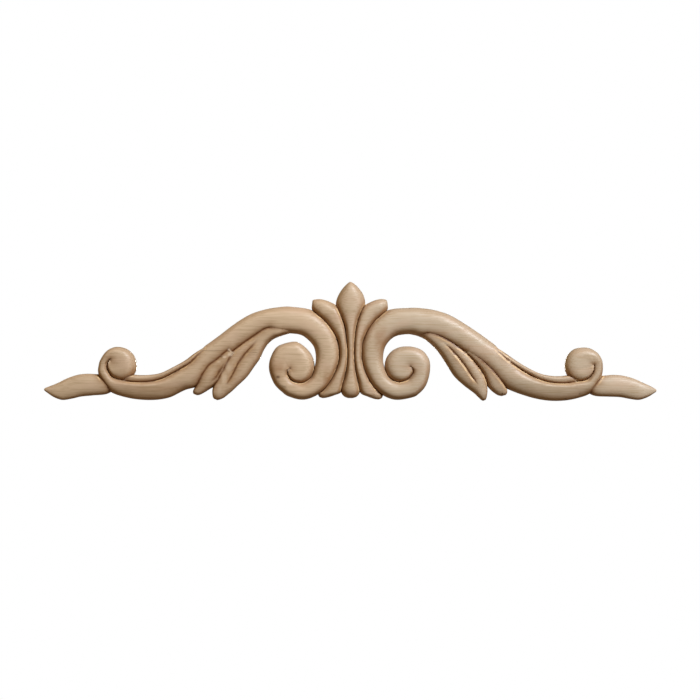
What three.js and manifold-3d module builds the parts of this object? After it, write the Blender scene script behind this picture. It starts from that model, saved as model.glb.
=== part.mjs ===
// Carved applique for a furniture front: one piece of hardwood, sawn to its outline and carved in low relief.
// Two scrolls with leaves spring from a bud and two petals in the middle.
// X runs along the ornament, Z is up, and the flat back lies on Y = 0 with the carving towards -Y.
// The origin is on the back, at the middle of the length and of the height.

import * as THREE from 'three';
import { mergeVertices } from 'three/addons/utils/BufferGeometryUtils.js';
import Module from 'manifold-3d';

const wasm = await Module();
wasm.setup();

// Driving dimensions, in millimetres
const LENGTH = 457;
const THICKNESS = 12.7;
const SAWN_EDGE = 3.6;
const VEIN_DEPTH = 1.6;
const VEIN_WIDTH = 2.6;

// The pattern is drawn on squares, with "out" counted from the middle line and "up" from the lowest edge.
const SQUARES_LONG = 612;
const MIDDLE_UP = 59;
const SQUARE = LENGTH / SQUARES_LONG;

// The section of a member: how full its cushion is, and where its crest lies between the rails
const FULLNESS = 2.4;
const CREST = 0.5;

// How closely the carved surface is followed: squares along a member, facets across it, gap round a vein
// as a share of the width, and the grid in millimetres that corners settle on
const STATION = 5.4;
const ACROSS = 6;
const VEIN_CLEAR = 0.05;
const GRID = 0.02;

// Members are lists of rungs: out and up of one rail, out and up of the other, the crown as a share of the
// relief over the sawn edge, and how far each rail stays lifted off that edge, as a share of the crown.

const LARGE_EYE = [52.6, 36.5];
const SMALL_EYE = [232.6, 36];

// A turn's stations are [angle in degrees, radius of the first rail, radius of the second, crown, lifts].
// The band's end and the head's start run into each other, each sinking a little under the other.
const LARGE_TURN = [
  [-4, 9.9, 25.2, 0.76, 0.8, 0],
  [-15, 9.3, 26.9, 0.8, 0.85, 0],
  [-30, 11.4, 28.8, 0.79, 0.4, 0],
  [-45, 13, 31.1, 0.78],
  [-75, 15.9, 34, 0.78],
  [-105, 18.3, 36.8, 0.8],
  [-135, 18.9, 37.6, 0.83],
  [-165, 18.6, 38.8, 0.87],
  [-195, 20.6, 43.5, 0.9],
  [-225, 24.8, 50.3, 0.93],
  [-252, 28.4, 55.6, 0.93],
];
const SMALL_TURN = [
  [-75, 29.5, 14.3, 0.71],
  [-50, 24.3, 11.8, 0.68],
  [-25, 21.2, 10.6, 0.68, 0, 0.4],
  [-3, 19.2, 10, 0.69, 0, 0.85],
  [9, 17.8, 10.4, 0.65, 0, 0.8],
];
const SCROLL_WAVE = [
  [57.6, 66.3, 58.6, 92.6, 0.93],
  [73.6, 68, 80.9, 91.2, 0.92],
  [89.6, 63, 100, 85.1, 0.9],
  [107.6, 51.5, 120.1, 73.5, 0.89],
  [124.6, 38.5, 138.2, 61.1, 0.86],
  [138.6, 27.5, 151.6, 45.5, 0.83],
  [153.6, 13.5, 168.6, 32.2, 0.82],
  [175.4, 4.6, 183.6, 24, 0.79],
  [194.6, 0.2, 197.6, 19.2, 0.78],
  [212.6, -0.2, 211.6, 18, 0.75],
  [228.6, 2.7, 223.6, 19.3, 0.72],
];

// Each volute's head fans out from a pivot at the end of its groove, [angle, radius, share of the relief],
// to a rim of [angle, radius, crown].
const LARGE_PIVOT = [-14, 9.7, 0.67];
const LARGE_RIM = [
  [-28, 26.2, 0.76], [-12, 26.8, 0.81], [8, 26, 0.82], [30, 24.2, 0.82], [50, 21.1, 0.83], [75, 18.1, 0.83],
  [105, 16.6, 0.83], [135, 16.7, 0.83], [165, 17.6, 0.83], [195, 19.2, 0.83], [225, 20.2, 0.82],
  [255, 20, 0.8], [285, 17.9, 0.78], [315, 14.8, 0.72], [335, 12.4, 0.69],
];
const SMALL_PIVOT = [-2, 10.4, 0.57];
const SMALL_RIM = [
  [-16, 18.4, 0.66], [0, 19.2, 0.7], [18, 18.8, 0.72], [40, 18.2, 0.75], [65, 17.3, 0.76], [90, 16.8, 0.78],
  [120, 16.9, 0.78], [150, 17.4, 0.78], [180, 18.2, 0.78], [205, 19, 0.76], [230, 19.4, 0.75],
  [255, 18.2, 0.72], [285, 15.6, 0.69], [315, 12.8, 0.67], [335, 11.4, 0.65],
];

const LEAF = {
  rungs: [
    [48.6, 65.5, 50.6, 74.5, 0.48],
    [63.6, 65.6, 67.6, 75.5, 0.6, 0, 0.6],
    [76.6, 59.5, 83.6, 69.5, 0.67, 0, 0.7],
    [87.1, 49.5, 100.1, 62.5, 0.68, 0, 0.7],
    [95.6, 37, 113.6, 51.5, 0.68, 0, 0.5],
    [103.6, 24.5, 122.1, 43, 0.67, 0, 0.3],
    [113.6, 15, 130.1, 33, 0.65],
    [123.4, 7.6, 135.3, 22.5, 0.6],
    [129.3, 2, 137.1, 12, 0.48],
    [131.4, 0.2, 136.5, 4.2, 0.3],
    [132.6, -0.4, 135.4, 0.9, 0.13],
  ],
  vein: { from: 2.7, to: 7.8, at: 0.45, half: 0.12 },
};
const LEAFLET = {
  rungs: [
    [116.6, 48, 121.6, 52, 0.53, 0.5, 0.5],
    [124.6, 38.5, 132.6, 41.5, 0.61, 0.2, 0.5],
    [132.1, 27, 143.1, 32, 0.61, 0, 0.4],
    [136.8, 15, 151.1, 23, 0.58, 0, 0.3],
    [141.4, 9.6, 155.4, 15.2, 0.53],
    [147.2, 5.4, 156.9, 8.7, 0.37],
    [151, 4.4, 155.6, 5.6, 0.13],
  ],
};
const FILLET = {
  rungs: [
    [143.6, 49.5, 142.1, 55.2, 0.53, 0.8, 0.6],
    [155.1, 41, 154.6, 48.5, 0.55, 0.8, 0.1],
    [166.1, 33, 165.6, 40.7, 0.55, 0.6, 0],
    [177.1, 26.5, 176.6, 32.4, 0.55, 0.5, 0],
    [189.1, 20.5, 189.6, 25.4, 0.55, 0.4, 0],
    [201.1, 17, 201.6, 23.6, 0.55, 0.4, 0],
    [212.1, 16, 210.6, 24.4, 0.55, 0.4, 0],
    [221.1, 17, 217.6, 25, 0.53, 0.4, 0],
    [226.1, 18.5, 223.6, 23, 0.44, 0.4, 0],
  ],
};
const END_LEAF = {
  rungs: [
    [235.6, 9, 243.6, 24.5, 0.51],
    [244.6, 4.6, 254.6, 24.9, 0.53],
    [257.6, 3.8, 262.6, 25.6, 0.53],
    [269.6, 3.3, 271.6, 25, 0.51],
    [279.6, 1.5, 282.6, 22.2, 0.46],
    [288.6, 0.6, 292.6, 17.8, 0.4],
    [297.1, 3.3, 299.6, 14.6, 0.3],
    [303.8, 7.4, 304.6, 11.9, 0.16],
    [305.9, 9, 306.1, 10.6, 0.06],
  ],
};
const PETAL_BODY = [
  [19.6, 98.2, 24.6, 78.5, 0.82, 0, 0.1],
  [12.1, 93, 18.6, 70.5, 0.86, 0, 0.2],
  [7.1, 80.5, 14.6, 63.5, 0.86, 0.1, 0.2],
  [4.6, 67.5, 12.1, 57.5, 0.85, 0.2, 0.2],
  [3.4, 54.5, 11.5, 48.5, 0.83, 0.2, 0.2],
  [3.6, 41.5, 12.1, 38.5, 0.82, 0.2, 0.2],
  [4.8, 29.5, 15.8, 27, 0.82, 0.1, 0.2],
  [6.9, 19.5, 21.8, 16.5, 0.76, 0, 0.2],
  [9.6, 8, 28.8, 9, 0.68, 0, 0.1],
  [17.1, 3.9, 32.3, 6, 0.55],
  [24.1, 1.5, 32, 3.4, 0.37],
  [28.2, 1, 31, 2.1, 0.19],
];
const PETAL_CREST = 0.42;
const RIGHT_PETAL_TIP = [
  [36.8, 99.2, 37.6, 93.2, 0.23],
  [35, 101, 37, 90.6, 0.47],
  [28.6, 101.3, 31.6, 84.5, 0.75],
];
const LEFT_PETAL_TIP = [
  [37.6, 99.6, 38.2, 92.4, 0.23],
  [35.6, 100.6, 37.2, 90, 0.5],
  [28.6, 101, 31.6, 84.5, 0.75],
];

// The bud, its stem and the knob below stand on the middle line, with their half widths drawn as carved.
const STEM = {
  rungs: [
    [-0.9, 118.5, 0.9, 118.5, 0.3],
    [-3.4, 116.6, 4, 116.6, 0.61],
    [-6.9, 113, 7.8, 113, 0.83],
    [-11.4, 106.5, 12.5, 106.5, 0.96],
    [-14.4, 98.5, 14.8, 98.5, 1],
    [-13.8, 91, 13.6, 91, 0.99],
    [-9.9, 82.5, 9.4, 82.5, 0.94],
    [-5.9, 72.5, 6.4, 72.5, 0.9],
    [-3.8, 61.5, 5, 61.5, 0.87],
    [-3, 50.5, 4.6, 50.5, 0.85],
    [-3, 40.5, 4.8, 40.5, 0.83],
    [-3.8, 30.5, 5.8, 30.5, 0.85],
    [-6.9, 20.5, 7.8, 20.5, 0.87],
    [-9.9, 11.5, 9.9, 11.5, 0.83],
    [-8.4, 6.4, 8.6, 6.4, 0.67],
    [-5.6, 3.6, 5.8, 3.6, 0.44],
    [-2.4, 2.4, 2.6, 2.4, 0.19],
  ],
};

// The left half was carved from the same pattern by hand, so it drifts from the right one:
// [out, up] on the right half, then how far out and up the same spot lies on the left.
const LEFT_DRIFT = [
  [0, 60, 0, 0],
  [3.5, 48, -1.2, 0],
  [12, 25, 0, 0],
  [12, 65, 0, 0],
  [20, 98, 0, 0],
  [30, 2, -0.5, 1.2],
  [34.6, 36, 1.8, 1],
  [50, 2, 0.5, 0],
  [52, 54, 2, 4.2],
  [55, 66.5, 1.5, 1],
  [60, 92, 0.5, 1.2],
  [61, 33.5, 0.5, -2],
  [78, 32, 2.3, 0.5],
  [77, 20, 1, 0],
  [88, 66, 0, 2.5],
  [90, 88, 0, 0.5],
  [92, 43, -1.5, -0.8],
  [106, 55, 0, 3],
  [114, 15, 0, -1],
  [122, 44, 0, 3],
  [128, 3, -1, -0.8],
  [130, 30, -2, 0],
  [130, 67, 0, -1],
  [134, 0, 1, 1],
  [137, 13, 0.5, 0],
  [138, 30, 0, 3],
  [149, 5, 2.5, 0.7],
  [156, 12, -0.8, 1],
  [160, 44, 0, -0.6],
  [163, 10, 1, 2],
  [180, 6, 0, 0],
  [185, 28, 0, 0.8],
  [205, 0, 0, 1],
  [205, 24, 0, 0],
  [218, 46, -0.5, 1],
  [233, 36, -0.3, 0.5],
  [243, 48, -2, -2],
  [250, 34, 0.5, 0],
  [265, 4, 0, 0.8],
  [275, 25, 0, 0.8],
  [290, 1, 0, 0],
  [298, 14, 0, 0],
  [304, 9, 0.2, 1],
];
const DRIFT_REACH = 7;

// Turns polar stations round an eye into rungs.
function turn(eye, stations) {
  return stations.map(([angle, first, second, crown, ...lifts]) => {
    const way = THREE.MathUtils.degToRad(angle);
    const reach = (radius) => [eye[0] + radius * Math.cos(way), eye[1] + radius * Math.sin(way)];
    return [...reach(first), ...reach(second), crown, ...lifts];
  });
}

// The fan of rungs of a volute's head, all from one pivot of one height.
function headRungs(eye, [pivotAngle, pivotRadius, pivotRise], rim) {
  const pivot = turn(eye, [[pivotAngle, pivotRadius, 0, 0]])[0].slice(0, 2);
  const stations = rim.map(([angle, radius, crown]) => [angle, 0, radius, crown, pivotRise / crown]);
  return turn(eye, stations).map((rung) => [...pivot, ...rung.slice(2)]);
}

// Height of a cushion across its width: 0 at the rails and 1 at the crest.
function cushion(across, crest) {
  const side = across < crest ? (crest - across) / crest : (across - crest) / (1 - crest);
  return Math.sqrt(Math.max(0, 1 - side ** FULLNESS));
}

// Depth of the vein at a place on a leaf: a V with soft lips that fades out at both ends.
function veinDepth(vein, along, across, width) {
  const fadeIn = THREE.MathUtils.smoothstep(along, vein.from, vein.from + 1);
  const fadeOut = 1 - THREE.MathUtils.smoothstep(along, vein.to - 1, vein.to);
  const away = (Math.abs(across - vein.at) * width) / VEIN_WIDTH;
  return VEIN_DEPTH * fadeIn * fadeOut * Math.exp(-away * away);
}

// Rungs at even steps along a member, through the drawn ones, each with its place along the list.
function sections(rungs) {
  const full = rungs.map((rung) => [...rung, 0, 0].slice(0, 7));
  const places = full.map((_, index) => index);
  const between = new THREE.CubicInterpolant(places, full.flat(), 7);
  const found = [];
  for (let index = 0; index < full.length - 1; index += 1) {
    const [a, b] = [full[index], full[index + 1]];
    const gap = Math.max(Math.hypot(b[0] - a[0], b[1] - a[1]), Math.hypot(b[2] - a[2], b[3] - a[3]));
    const steps = Math.max(1, Math.round(gap / STATION));
    for (let step = 0; step < steps; step += 1) {
      const along = index + step / steps;
      found.push({ along, rung: Array.from(between.evaluate(along)) });
    }
  }
  found.push({ along: full.length - 1, rung: full[full.length - 1] });
  return found;
}

// How far the left half has drifted at a spot, from the nearest of the noted drifts.
function drift(out, up) {
  let [total, outward, upward] = [0, 0, 0];
  for (const [atOut, atUp, byOut, byUp] of LEFT_DRIFT) {
    const distance = Math.hypot(out - atOut, up - atUp);
    const weight = 1 / (distance ** 2 + DRIFT_REACH ** 2) ** 2;
    total += weight;
    outward += weight * byOut;
    upward += weight * byUp;
  }
  return [outward / total, upward / total];
}

// A spot of the pattern, as X and Z on the wood; side is 1 for the right half, -1 for the left, 0 for neither.
function place(side, out, up) {
  const [byOut, byUp] = side < 0 ? drift(out, up) : [0, 0];
  const mirror = side < 0 ? -1 : 1;
  return [mirror * (out + byOut) * SQUARE, (up + byUp - MIDDLE_UP) * SQUARE];
}

// A closed solid from corners and triangles: corners that meet are merged and the faces point outwards.
function solid(corners, triangles) {
  const geometry = new THREE.BufferGeometry();
  geometry.setAttribute('position', new THREE.Float32BufferAttribute(corners.flat(), 3));
  geometry.setIndex(triangles.flat());
  const merged = mergeVertices(geometry, 1e-3);
  const points = merged.getAttribute('position');
  const index = merged.getIndex().array;
  const [a, b, c] = [new THREE.Vector3(), new THREE.Vector3(), new THREE.Vector3()];
  const kept = [];
  let volume = 0;
  for (let start = 0; start < index.length; start += 3) {
    const [i, j, k] = index.slice(start, start + 3);
    if (i !== j && j !== k && k !== i) {
      kept.push([i, j, k]);
      a.fromBufferAttribute(points, i);
      b.fromBufferAttribute(points, j);
      c.fromBufferAttribute(points, k);
      volume += a.dot(b.cross(c));
    }
  }
  const facing = volume < 0 ? kept.map(([i, j, k]) => [i, k, j]) : kept;
  const mesh = new wasm.Mesh({
    numProp: 3,
    vertProperties: Float32Array.from(points.array),
    triVerts: Uint32Array.from(facing.flat()),
  });
  return new wasm.Manifold(mesh);
}

// Where a member's width is cut into facets: closer at the rails, and round a vein.
function sharesAcross(vein) {
  const even = Array.from({ length: ACROSS + 1 }, (_, step) => (1 - Math.cos((Math.PI * step) / ACROSS)) / 2);
  if (!vein) return even;
  const lips = [vein.at - vein.half, vein.at, vein.at + vein.half];
  const clear = even.filter((share) => Math.abs(share - vein.at) > vein.half + VEIN_CLEAR);
  return [...clear, ...lips].sort((a, b) => a - b);
}

// One carved member: a cushion between two rails, on an upright sawn edge, down to the flat back.
function member(side, { rungs, crest = CREST, vein = null }) {
  const corners = [];
  const triangles = [];
  const shares = sharesAcross(vein);
  const row = shares.length + 2;
  const found = sections(rungs);
  for (const { along, rung } of found) {
    const [outA, upA, outB, upB, crown, liftA, liftB] = rung;
    const width = Math.hypot(outB - outA, upB - upA) * SQUARE;
    const rise = crown * (THICKNESS - SAWN_EDGE);
    for (const share of shares) {
      const lift = THREE.MathUtils.clamp(share < crest ? liftA : liftB, 0, 1);
      const swell = lift + (1 - lift) * cushion(share, crest);
      const cut = vein ? veinDepth(vein, along, share, width) : 0;
      const [x, z] = place(side, outA + (outB - outA) * share, upA + (upB - upA) * share);
      corners.push([x, -(SAWN_EDGE + rise * swell - cut), z]);
    }
    const [xB, zB] = place(side, outB, upB);
    const [xA, zA] = place(side, outA, upA);
    corners.push([xB, 0, zB], [xA, 0, zA]);
  }
  for (let station = 0; station < found.length - 1; station += 1) {
    for (let step = 0; step < row; step += 1) {
      const a = station * row + step;
      const b = station * row + ((step + 1) % row);
      triangles.push([a, b, b + row], [a, b + row, a + row]);
    }
  }
  const last = (found.length - 1) * row;
  for (let step = 1; step < row - 1; step += 1) {
    triangles.push([0, step + 1, step], [last, last + step, last + step + 1]);
  }
  return solid(corners, triangles);
}

// The members of one half, from the middle outwards.
function halfMembers(side) {
  const scroll = [
    ...turn(LARGE_EYE, LARGE_TURN),
    ...SCROLL_WAVE,
    ...turn(SMALL_EYE, SMALL_TURN),
  ];
  const largeHead = headRungs(LARGE_EYE, LARGE_PIVOT, LARGE_RIM);
  const smallHead = headRungs(SMALL_EYE, SMALL_PIVOT, SMALL_RIM);
  const petalTip = side < 0 ? LEFT_PETAL_TIP : RIGHT_PETAL_TIP;
  return [
    member(side, { rungs: scroll }),
    member(side, { rungs: largeHead }),
    member(side, { rungs: smallHead }),
    member(side, LEAF),
    member(side, LEAFLET),
    member(side, FILLET),
    member(side, END_LEAF),
    member(side, { rungs: [...petalTip, ...PETAL_BODY], crest: PETAL_CREST }),
  ];
}

// The joined solid's surface with its corners on a fine grid, so that no sliver is thinner than the grid.
// Faces that collapse are dropped, and so are two faces that close up back to back.
function settled({ vertProperties, triVerts }) {
  const corners = Array.from(vertProperties, (value) => Math.round(value / GRID) * GRID);
  const geometry = new THREE.BufferGeometry();
  geometry.setAttribute('position', new THREE.Float32BufferAttribute(corners, 3));
  geometry.setIndex(Array.from(triVerts));
  const merged = mergeVertices(geometry, GRID / 4);
  const index = merged.getIndex().array;
  const faces = new Map();
  for (let start = 0; start < index.length; start += 3) {
    const face = Array.from(index.slice(start, start + 3));
    if (new Set(face).size === 3) {
      const key = [...face].sort((a, b) => a - b).join();
      if (faces.has(key)) {
        faces.delete(key);
      } else {
        faces.set(key, face);
      }
    }
  }
  merged.setIndex([...faces.values()].flat());
  return merged;
}

const members = [...halfMembers(1), ...halfMembers(-1), member(0, STEM)];
const geometry = settled(members.reduce((whole, next) => whole.add(next)).getMesh());

const oiledWood = new THREE.MeshStandardMaterial({ color: '#b99f80', roughness: 0.55, metalness: 0 });
const applique = new THREE.Mesh(geometry, oiledWood);
applique.name = 'carved_applique';

const group = new THREE.Group();
group.add(applique);

export default group;
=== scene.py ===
"""The finished look of a carved furniture applique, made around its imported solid."""

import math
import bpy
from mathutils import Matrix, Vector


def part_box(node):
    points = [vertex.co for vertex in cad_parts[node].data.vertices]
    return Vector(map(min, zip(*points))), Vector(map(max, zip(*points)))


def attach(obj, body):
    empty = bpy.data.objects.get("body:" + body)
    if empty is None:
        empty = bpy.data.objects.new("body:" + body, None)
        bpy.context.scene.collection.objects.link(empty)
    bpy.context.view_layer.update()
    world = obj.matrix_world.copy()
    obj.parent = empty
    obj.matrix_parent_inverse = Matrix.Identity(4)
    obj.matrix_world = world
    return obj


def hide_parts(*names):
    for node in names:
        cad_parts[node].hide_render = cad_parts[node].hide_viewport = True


bl_info = {
    "name": "Carved Scroll Applique",
    "version": (1, 0, 0),
    "blender": (4, 5, 0),
    "location": "View3D > Sidebar > Applique",
    "description": "Carves, glazes and lights a scroll and leaf applique for furniture",
    "category": "Object",
}

import bpy
import numpy as np
from mathutils import Vector
from mathutils.kdtree import KDTree

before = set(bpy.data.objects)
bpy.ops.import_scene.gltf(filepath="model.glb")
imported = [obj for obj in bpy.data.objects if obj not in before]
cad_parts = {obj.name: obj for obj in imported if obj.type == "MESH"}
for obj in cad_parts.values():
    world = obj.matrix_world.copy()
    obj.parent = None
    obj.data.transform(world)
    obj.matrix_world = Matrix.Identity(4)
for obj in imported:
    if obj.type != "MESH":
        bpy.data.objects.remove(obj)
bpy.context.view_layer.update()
NODE = "carved_applique"
NODE_LOW, NODE_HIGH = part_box(NODE)

# The pattern is drawn on squares, with "out" counted from the middle line and "up" from the lowest edge.
SQUARES_LONG = 612
MIDDLE_UP = 59

# The section of a member: how full its cushion is, and where its crest lies between the rails
# Both are noted as (rung, value) and run evenly between the noted rungs.
FULLNESS = [(0, 2.3)]
LEAF_FULLNESS = [(0, 2.6)]
CREST = [(0, 0.5)]

# A vein's V: the power that its flanks fall off by, and how many rungs its ends fade over
VEIN_SHARPNESS = 1.15
VEIN_FADE = 1.2

# Squares from a vein's bottom where its flanks are cut into facets, and the gap to the next facets
VEIN_LIPS = (0.5, 1, 1.6, 2.3)
VEIN_CLEAR = 0.2

# How a member is cut across: the facets on each side of its middle for every step that it is wide, the
# fewest there, and how much of their spacing is even
FACETS_ACROSS = 0.575
FEWEST_FACETS = 4
EVEN_SHARE = 0.35

# Low waves left by hand tools: their draw, how many, their lengths in metres, their level in ripples,
# and the rise, as a share of the relief, above which they have their full height
RIPPLE_SEED = 7
RIPPLE_WAVES = 14
RIPPLE_LENGTHS = (0.007, 0.022)
RIPPLE_LEVEL = 1.5
RIPPLE_FULL = 0.5

# How far, in metres, the ends of a stretch are drawn in and sunk, so that they stay inside their neighbours
TUCK = 1.2e-5

# Corners closer than this, in metres, are merged where a member's seam closes.
SEAM_GAP = 1e-6

# Rungs of a member: out and up of one rail, out and up of the other, the crown as a share of the relief
# over the sawn edge, and how far each rail stays lifted off that edge, as a share of the crown
RUNG_VALUES = 7

LARGE_EYE = (52.6, 36.5)
SMALL_EYE = (232.6, 36)

# Stations of a turn round an eye: angle in degrees, radius of each rail, crown, lifts
LARGE_TURN = [
    (-30, 9.4, 29.4, 0.79, 0.4, 0),
    (-45, 11.2, 31.7, 0.78),
    (-60, 13.1, 33.5, 0.78),
    (-75, 14.8, 34.7, 0.78),
    (-105, 17.8, 36.8, 0.8),
    (-135, 18.9, 37.6, 0.83),
    (-165, 18.6, 38.8, 0.87),
    (-195, 20.6, 43.5, 0.9),
    (-225, 24.8, 50.3, 0.93),
    (-252, 28.4, 55.6, 0.93),
]
# The scroll after its large turn: the first rungs of each half, then the ones that both share
RIGHT_SCROLL_START = [
    (57.6, 66.3, 58.6, 92.6, 0.93),
    (70, 64.6, 73, 92.1, 0.92, 0.2, 0),
    (80, 66, 86.5, 89.8, 0.91, 0.6, 0),
    (91, 61.6, 101, 84.6, 0.9, 0.45, 0),
]
LEFT_SCROLL_START = [
    (57.6, 66.3, 58.6, 92.6, 0.93),
    (70, 66.6, 73, 92.1, 0.92, 0.3, 0),
    (80, 69, 86.5, 89.8, 0.91, 0.35, 0),
    (91, 63.6, 101, 84.6, 0.9, 0.35, 0),
]
SCROLL_WAVE = [
    (107.6, 51.5, 120.1, 73, 0.89, 0.2, 0),
    (124.6, 38.5, 138, 60.5, 0.86),
    (131.6, 33, 145.6, 54.2, 0.85, 0, 0.3),
    (138.6, 27.5, 151.6, 46, 0.83, 0, 0.74),
    (153.6, 13.5, 168.6, 32.2, 0.82, 0, 0.4),
    (175.4, 4.6, 183.6, 24, 0.79),
    (194.6, 0.2, 197.6, 19.2, 0.78),
    (212.6, -0.2, 211.6, 18, 0.75),
    (228.6, 2.7, 223.6, 19.3, 0.72),
]
# Along the wave the scroll's crest leans to its outer rail, and its sides are flatter.
SCROLL_CREST = [
    (0, 0.5), (27, 0.5), (29, 0.56), (32, 0.66), (34, 0.78), (35, 0.8), (36, 0.74), (37, 0.62), (39, 0.5),
]
SCROLL_FULLNESS = [(0, 2.5), (28, 2.5), (32, 1.9), (34, 1.5), (36, 1.5), (38, 2.2), (39, 2.5)]

# A volute's head fans out from a pivot (angle, radius, share of the relief) to a rim (angle, radius, crown).
# The last HEAD_TUCKED rungs of each fan are carved as a member of their own, under the turn that wraps them.
HEAD_TUCKED = 7
LARGE_PIVOT = (-20, 7.6, 0.67)
LARGE_RIM = [
    (-12, 27.7, 0.81), (8, 26.7, 0.82), (30, 24.3, 0.82), (50, 21.2, 0.83),
    (75, 18.3, 0.83), (105, 17.1, 0.83), (135, 17.1, 0.83), (165, 17.8, 0.83), (195, 18.9, 0.83),
    (225, 19.5, 0.82), (255, 18.9, 0.8), (285, 16.6, 0.78), (315, 13.4, 0.72), (335, 11, 0.69),
]

# The small volute of each side: the turn into it, the pivot of its head and the rim of its head
SMALL_VOLUTE = {
    1: {
        "turn": [(-75, 29.5, 14.3, 0.71), (-50, 24.3, 11.8, 0.68), (-25, 21.2, 10.6, 0.68, 0, 0.4)],
        "pivot": (-2, 10.2, 0.57),
        "rim": [
            (0, 19.7, 0.7), (18, 19.2, 0.72), (40, 18.5, 0.75), (65, 17.6, 0.76),
            (90, 17, 0.78), (120, 17.5, 0.78), (150, 17.6, 0.78), (180, 17.9, 0.78), (205, 18.7, 0.76),
            (230, 19.2, 0.75), (255, 18.1, 0.72), (285, 15.5, 0.69), (315, 12.6, 0.67), (335, 11, 0.65),
        ],
    },
    -1: {
        "turn": [
            (-75, 29.5, 14, 0.71), (-50, 24.3, 11.6, 0.68), (-25, 21.4, 10.4, 0.68), (0, 19, 9.6, 0.68),
            (18, 18, 9, 0.7, 0, 0.4),
        ],
        "pivot": (38, 8.6, 0.6),
        "rim": [
            (42, 17.5, 0.75), (65, 17.6, 0.76),
            (90, 17.8, 0.78), (120, 18, 0.79), (150, 18.3, 0.79), (180, 18.4, 0.79), (205, 19.2, 0.78),
            (230, 19.4, 0.76), (255, 17.9, 0.73), (285, 15, 0.7), (320, 11.6, 0.68), (355, 10, 0.66),
        ],
    },
}

# The leaf: the first rungs of each half, then the ones that both share
RIGHT_LEAF_START = [
    (58, 66.6, 62, 79, 0.45),
    (68, 64.2, 73.5, 77, 0.58),
    (76.6, 59.6, 84.5, 72, 0.72, 0, 0.2),
]
LEFT_LEAF_START = [
    (58, 66.6, 62, 79, 0.7),
    (68, 63.8, 74, 77.5, 0.83),
    (76.4, 59.2, 86, 73.5, 0.78, 0, 0.2),
]
LEAF = [
    (87.1, 49.5, 100.1, 63.5, 0.7, 0, 0.3),
    (95.6, 37, 113.6, 51.5, 0.7, 0, 0.3),
    (103.6, 24.5, 122.1, 43, 0.68, 0, 0.2),
    (113.6, 15, 130.1, 33, 0.65),
    (123.4, 7.6, 135.3, 22.5, 0.6),
    (129.3, 2, 137.1, 12, 0.48),
    (131.4, 0.2, 136.5, 4.2, 0.3),
    (132.6, -0.4, 135.4, 0.9, 0.13),
]
RIGHT_LEAF_CREST = [(0, 0.5), (3, 0.5), (5, 0.62), (10, 0.62)]
LEFT_LEAF_CREST = [(0, 0.5), (3, 0.5), (5, 0.76), (10, 0.76)]
# A vein runs between two rungs of its member, at a share of the width that is noted rung by rung.
LEAF_VEIN = {"from": 2.7, "to": 7, "at": [0.52, 0.52, 0.52, 0.53, 0.565, 0.56, 0.47, 0.41, 0.4, 0.4, 0.4]}

# The leaflet beside the leaf: its tip, which both halves share, and the rungs before it
LEAFLET_CREST = [(0, 0.64)]
LEAFLET_TIP = [
    (141.4, 9.6, 155.4, 15.2, 0.53),
    (147.2, 5.4, 156.9, 8.7, 0.37),
    (151, 4.4, 155.6, 5.6, 0.13),
]
RIGHT_LEAFLET_FOOT = [
    (115.4, 47.5, 120.4, 51.5, 0.68, 0.6, 0.5),
    (123.4, 38.5, 131.6, 42.5, 0.7, 0.3, 0.5),
    (131.4, 27, 142.6, 32.5, 0.65, 0, 0.4),
    (136.8, 15, 151.1, 23.2, 0.6, 0, 0.3),
]
LEFT_LEAFLET_FOOT = [
    (116, 44.5, 122, 49, 0.76, 0.6, 0.5),
    (121.6, 37, 131, 42.5, 0.78, 0.3, 0.5),
    (128, 27, 141, 34, 0.75, 0.2, 0.4),
    (134, 16.5, 151, 25, 0.7, 0, 0.3),
]
LEFT_LEAFLET_VEIN = {"from": 1, "to": 3.5, "at": [0.3, 0.28, 0.31, 0.28, 0.28, 0.28, 0.28]}
FILLET = [
    (137.5, 54.5, 135.2, 59.4, 0.5, 0.8, 0),
    (146, 47.5, 144.8, 53.8, 0.66, 0.95, 0),
    (155, 40.4, 155.2, 47.3, 0.68, 0.85, 0),
    (166.1, 33, 166, 39.7, 0.62, 0.55, 0),
    (177.1, 26.5, 177, 33, 0.58, 0.3, 0),
    (189.1, 20.5, 189.6, 27, 0.56, 0.2, 0),
    (201.1, 17, 201.6, 24.6, 0.55, 0.2, 0),
    (212.1, 16, 210.6, 24.4, 0.55, 0.2, 0),
    (221.1, 17, 217.6, 25, 0.53, 0.3, 0),
    (226.1, 18.5, 223.6, 23, 0.44, 0.4, 0),
]
FILLET_CREST = [(0, 0.5), (2, 0.5), (4, 0.7), (9, 0.7)]
END_LEAF = [
    (235.6, 9, 243.6, 24.5, 0.51),
    (244.6, 4.6, 254.6, 24.9, 0.53),
    (257.6, 3.8, 262.6, 25.6, 0.53),
    (269.6, 3.3, 271.6, 25, 0.51),
    (279.6, 1.5, 282.6, 22.2, 0.46),
    (288.6, 0.6, 292.6, 17.8, 0.4),
    (297.1, 3.3, 299.6, 14.6, 0.3),
    (303.8, 7.4, 304.6, 11.9, 0.16),
    (305.9, 9, 306.1, 10.6, 0.06),
]
PETAL_BODY = [
    (19.6, 98.2, 24.6, 78.5, 0.82, 0, 0.1),
    (12.1, 93, 18.6, 70.5, 0.86, 0, 0.2),
    (7.1, 80.5, 14.6, 63.5, 0.86, 0.1, 0.2),
    (4.6, 67.5, 12.1, 57.5, 0.85, 0.2, 0.2),
    (3.4, 54.5, 11.5, 48.5, 0.83, 0.2, 0.2),
    (3.6, 41.5, 12.1, 38.5, 0.82, 0.2, 0.2),
    (4.8, 29.5, 15.8, 27, 0.82, 0.1, 0.2),
    (6.9, 19.5, 21.8, 16.5, 0.76, 0, 0.2),
    (9.6, 8, 28.8, 9, 0.68, 0, 0.1),
    (17.1, 3.9, 32.3, 6, 0.55),
    (24.1, 1.5, 32, 3.4, 0.37),
    (28.2, 1, 31, 2.1, 0.19),
]
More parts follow.
